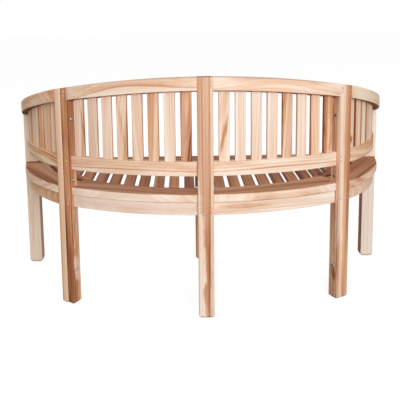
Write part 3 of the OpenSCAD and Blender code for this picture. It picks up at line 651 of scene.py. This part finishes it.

# Seat: rims, curved boards and slats
# nose, lip and foot: painted light on the rims' outer edge and a painted shadow line at its foot
seatLooks = {
    "seat_rear_rim_left": {"along": "level", "tone": 0.64, "warmth": 0.3, "streaks": 0.22, "ease": 0.006,
                           "nose": 0.2, "lip": 0.5, "foot": 0.5, "rings": 0.4},
    "seat_rear_rim_right": {"along": "level", "tone": 0.66, "warmth": 0.35, "streaks": 0.22, "ease": 0.006,
                            "nose": 0.3, "lip": 0.5, "foot": 0.7, "rings": 0.4},
    "arm_seat_rim_left": {"along": "level", "tone": 0.73, "warmth": 0.9, "streaks": 0.34, "ease": 0.006,
                          "nose": 0.19, "lip": 0.5, "foot": 0.55, "rings": 0.3},
    "arm_seat_rim_right": {"along": "level", "tone": 0.57, "warmth": 0.5, "streaks": 0.36, "ease": 0.006,
                           "nose": 0.29, "lip": 0.5, "foot": 0.5, "rings": 0.4},
    "arm_seat_board_left": {"along": "level", "tone": 0.71, "warmth": 0.9, "streaks": 0.3, "ease": 0.003},
    "arm_seat_board_right": {"along": "level", "tone": 0.66, "warmth": 0.2, "streaks": 0.5, "ease": 0.003},
    "seat_front_rim": {"along": "level", "tone": 0.66, "warmth": 0.3, "streaks": 0.3, "ease": 0.004},
    "seat_slats_left": {"along": "level", "warmth": 0.7, "streaks": 0.24, "ease": 0.002,
                        "tone": [0.7, 0.65, 0.72, 0.75, 0.76, 0.70, 0.66, 0.64, 0.66, 0.75]},
    "seat_slats_right": {"along": "level", "warmth": 0.6, "streaks": 0.24, "ease": 0.002,
                         "tone": [0.59, 0.73, 0.71, 0.59, 0.81, 0.73, 0.8, 0.76, 0.66, 0.7]},
    "seat_middle_slat": {"along": "level", "tone": 0.64, "warmth": 0.3, "streaks": 0.24, "ease": 0.002},
}
makeBoards(seatLooks)

# Frame under the seat
hiddenLook = {"along": "level", "tone": 0.5, "warmth": 0.4, "streaks": 0.3}
frameLooks = {
    "rear_apron_left": {"along": "level", "tone": 0.26, "warmth": 0.0, "streaks": 0.14, "rings": 0.3,
                        "ease": 0.003},
    "rear_apron_right": {"along": "level", "tone": 0.22, "warmth": 0.2, "streaks": 0.26, "rings": 0.5,
                         "ease": 0.003,
                         "patches": {0: {"along": 0.12, "across": 0.006, "long": 0.12, "wide": 0.012,
                                         "slope": 0.03, "dark": 0.13}}},
    "arm_apron_left": {"along": "level", "tone": 0.35, "warmth": 1.1, "streaks": 0.28, "rings": 0.4,
                       "ease": 0.003},
    "arm_apron_right": {"along": "level", "tone": 0.36, "warmth": 0.8, "streaks": 0.18, "rings": 0.3,
                        "ease": 0.003},
    "front_apron_left": hiddenLook,
    "front_apron_right": hiddenLook,
    "middle_bearer": hiddenLook,
    "side_bearer_left": hiddenLook,
    "side_bearer_right": hiddenLook,
    "corner_blocks": {**hiddenLook, "along": "up"},
}
makeBoards(frameLooks)

# Pins: how their tone differs from that of the post round them
pinChange = {"centre": 0.03, "left": -0.08, "right": 0.02}
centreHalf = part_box("centre_rear_post")[1][0]
pairMiddle = (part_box("back_post_left")[1][0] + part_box("arm_rear_post_left")[0][0]) / 2


def pinTone(spot):
    if abs(spot[0]) < centreHalf:
        return postLooks["centre_rear_post"]["tone"] + pinChange["centre"]
    side = "left" if spot[0] > 0 else "right"
    post = "back_post_" if abs(spot[0]) < pairMiddle else "arm_rear_post_"
    return postLooks[post + side]["tone"] + pinChange[side]


makeBoards({"joint_pins": {"along": "up", "toneAt": pinTone, "warmth": 0.4, "streaks": 0.1, "rings": 0.1}})
print("boards made")

# On the heads of the right pair the socket and the middle of the head are painted near black, as painted
# shade in the socket; the other heads have none
sockets = {"from": 0.3, "radius": 0.0042}


def paintSocketShade(bm):
    for group in islands(bm):
        points = np.array([list(v.co) for v in group])
        middle = points.mean(0)
        if middle[0] > -sockets["from"]:
            continue
        axis = np.linalg.eigh((points - middle).T @ (points - middle))[1][:, 2]
        for face in {face for v in group for face in v.link_faces}:
            away = np.array(face.calc_center_median()) - middle
            if np.linalg.norm(away - axis * (away @ axis)) < sockets["radius"]:
                # painted shade in the socket and over the middle of the head
                face.material_index = 1


def makeMetal(node):
    bm = mergedCopy(node)
    if node == "post_bolts":
        paintSocketShade(bm)
    mesh = meshOf(bm, camelName(node, "Metal"))
    addPiece(mesh, node, merging["metalSoft"], [steel, paintedSocketShade], False)


for node in ("post_bolts", "bolt_washers", "bolt_nuts"):
    makeMetal(node)
print("metal made")

# Studio, in metres and watts. The floor and the world are white to the camera, and give the bench the
# softer light of floorColour and worldLight
studio = {
    "floorSize": 30.0, "floorColour": 0.30, "floorGlow": 0.86, "worldLight": 0.42, "worldSeen": 1.0,
    "keyPlace": (-0.9, 5.2, 1.7), "keyWidth": 3.6, "keyPower": 225,
    "fillPlace": (3.5, -4.2, 2.6), "fillWidth": 4.0, "fillPower": 90,
    "lampAim": (0, 0, 0.5),
}


def seenRay(n):
    path = n.add("ShaderNodeLightPath").outputs
    mirrored = n.math("MAXIMUM", path["Is Glossy Ray"], path["Is Transmission Ray"])
    return n.math("MAXIMUM", path["Is Camera Ray"], mirrored)


def makeFloor():
    bm = bmesh.new()
    bmesh.ops.create_grid(bm, x_segments=1, y_segments=1, size=studio["floorSize"])
    floor = placed("floor", meshOf(bm, "floor"))
    material = bpy.data.materials.new("floorWhite")
    material.use_nodes = True
    tree = material.node_tree
    n = Nodes(tree)
    shader = tree.nodes["Principled BSDF"]
    shader.inputs["Base Color"].default_value = (*[studio["floorColour"]] * 3, 1)
    shader.inputs["Roughness"].default_value = 1.0
    shader.inputs["Specular IOR Level"].default_value = 0.0
    glow = n.add("ShaderNodeEmission")
    glow.inputs["Strength"].default_value = studio["floorGlow"]
    both = n.add("ShaderNodeAddShader")
    n.link(shader.outputs[0], both.inputs[0])
    n.link(glow.outputs[0], both.inputs[1])
    surface = n.choice(seenRay(n), shader.outputs[0], both.outputs[0])
    n.link(surface, tree.nodes["Material Output"].inputs["Surface"])
    floor.data.materials.append(material)


def makeWorld():
    world = bpy.data.worlds.new("studio")
    bpy.context.scene.world = world
    world.use_nodes = True
    world.node_tree.nodes.clear()
    n = Nodes(world.node_tree)

    def background(strength):
        node = n.add("ShaderNodeBackground")
        node.inputs["Color"].default_value = (1, 1, 1, 1)
        node.inputs["Strength"].default_value = strength
        return node.outputs[0]

    surface = n.choice(seenRay(n), background(studio["worldLight"]), background(studio["worldSeen"]))
    n.link(surface, n.add("ShaderNodeOutputWorld").inputs["Surface"])


def softLamp(name, place, width, power):
    data = bpy.data.lights.new(name, "AREA")
    data.shape = "DISK"
    data.size = width
    data.energy = power
    lamp = placed(name, data)
    lamp.location = place
    aim = Vector(studio["lampAim"]) - Vector(place)
    lamp.rotation_euler = aim.to_track_quat("-Z", "Y").to_euler()


makeFloor()
makeWorld()
softLamp("keyLamp", studio["keyPlace"], studio["keyWidth"], studio["keyPower"])
softLamp("fillLamp", studio["fillPlace"], studio["fillWidth"], studio["fillPower"])

# Lens and place of the camera, in pixels, degrees and metres. Its place is given from the foot of
# the middle rear post, x to the right as seen from behind and y to the front of the bench
shot = {
    "focal": 688.0, "centreX": 198.4, "centreY": 120.0, "pitch": 9.09, "yaw": 1.23, "roll": -0.60,
    "place": (-0.072, -2.275, 1.071), "image": 400, "sensor": 36.0,
}


def makeCamera():
    data = bpy.data.cameras.new("photoCamera")
    data.sensor_width = shot["sensor"]
    data.lens = shot["focal"] / shot["image"] * shot["sensor"]
    data.shift_x = 0.5 - shot["centreX"] / shot["image"]
    data.shift_y = shot["centreY"] / shot["image"] - 0.5
    pitch, yaw, roll = (math.radians(shot[key]) for key in ("pitch", "yaw", "roll"))
    level = Vector((math.cos(yaw), -math.sin(yaw), 0))
    ahead = Vector((math.sin(yaw) * math.cos(pitch), math.cos(yaw) * math.cos(pitch), -math.sin(pitch)))
    upright = level.cross(ahead)
    right = level * math.cos(roll) + upright * math.sin(roll)
    top = upright * math.cos(roll) - level * math.sin(roll)
    # half a turn takes the view from behind into the bench's frame
    half = Matrix(((-1, 0, 0), (0, -1, 0), (0, 0, 1)))
    turned = Matrix((half @ right, half @ top, half @ -ahead)).transposed().to_4x4()
    x, y, z = shot["place"]
    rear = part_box("centre_rear_post")[1][1]
    camera = placed("photoCamera", data)
    camera.matrix_world = Matrix.Translation((-x, rear - y, z)) @ turned
    bpy.context.scene.camera = camera


makeCamera()
bpy.context.scene.view_settings.view_transform = "Standard"
print("studio made")
